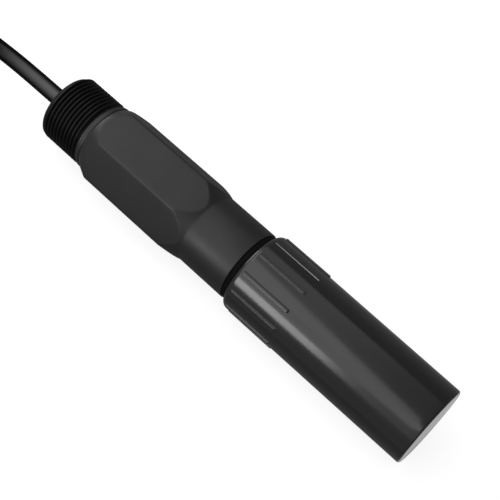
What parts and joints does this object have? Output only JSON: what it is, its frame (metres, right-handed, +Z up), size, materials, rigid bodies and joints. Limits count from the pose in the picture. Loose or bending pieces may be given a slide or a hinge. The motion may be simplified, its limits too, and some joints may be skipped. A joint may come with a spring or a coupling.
{
  "type": "conductivity sensor",
  "caption": "Screw-in contact conductivity sensor with a threaded end, hexagon, slim neck, ribbed push-on cap over coaxial electrodes, and a fixed cable that is folded and tied.",
  "frame": {"origin": "on the surface that the sensor lies on, under the middle of its body's box, measured without the cable and what is on it", "axes": "+X along the sensor's axis towards the cap's closed end, +Z up, +Y level to its left"},
  "size_m": [0.3386, 0.0565, 0.0382],
  "materials": {
    "housing_plastic": "moulded black, fine satin",
    "cap_plastic": "moulded black, glossy",
    "seal_rubber": "matte black",
    "insulator_plastic": "machined, natural beige",
    "electrode_steel": "turned stainless steel",
    "element_ceramic": "glazed ceramic bead",
    "lead_insulation": "thin insulation",
    "thin_wire": "enamelled wire",
    "board_green": "solder resist",
    "chip_black": "moulded package",
    "component_ceramic": "ceramic chip parts",
    "casting_resin": "poured black resin",
    "core_insulation": "thin insulation",
    "washer_steel": "punched",
    "gland_plastic": "moulded black",
    "cable_jacket": "black jacket, soft sheen",
    "tie_plastic": "black strap",
    "sleeve_plastic": "shrunk black sleeve",
    "core_brown": "thin insulation",
    "core_white": "thin insulation",
    "core_blue": "thin insulation",
    "core_black": "thin insulation",
    "ferrule_metal": "tinned"
  },
  "bodies": {
    "sensor": {"housing": "housing_plastic", "cell_insulator": "insulator_plastic", "outer_electrode": "electrode_steel", "inner_electrode": "electrode_steel", "temperature_element": "element_ceramic", "insulator_o_ring": "seal_rubber", "electrode_o_ring": "seal_rubber", "rear_spigot_ring": "seal_rubber", "front_spigot_ring": "seal_rubber", "inner_lead": "lead_insulation", "outer_lead": "lead_insulation", "temperature_leads": "thin_wire", "circuit_board": "board_green", "amplifier_chip": "chip_black", "bus_chip": "chip_black", "board_parts": "component_ceramic", "front_resin": "casting_resin", "rear_resin": "casting_resin", "inner_cores": "core_insulation", "cable_grommet": "seal_rubber", "gland_washer": "washer_steel", "gland_screw": "gland_plastic", "cable": "cable_jacket", "cable_coil": "cable_jacket", "coil_ties": "tie_plastic", "cable_end": "cable_jacket", "end_sleeve": "sleeve_plastic", "core_brown": "core_brown", "core_white": "core_white", "core_blue": "core_blue", "core_black": "core_black", "ferrules": "ferrule_metal"},
    "seal": {"cap_seal_ring": "seal_rubber"},
    "cap": {"cap": "cap_plastic"}
  },
  "joints": [
    {"name": "cap_turn", "type": "hinge", "parent": "sensor", "child": "seal", "pos_m": [0.00575, 0, 0.01476], "axis": [1, 0, 0], "continuous": true},
    {"name": "cap_pull", "type": "slide", "parent": "seal", "child": "cap", "axis": [1, 0, 0], "range_m": [0, 0.07]}
  ]
}
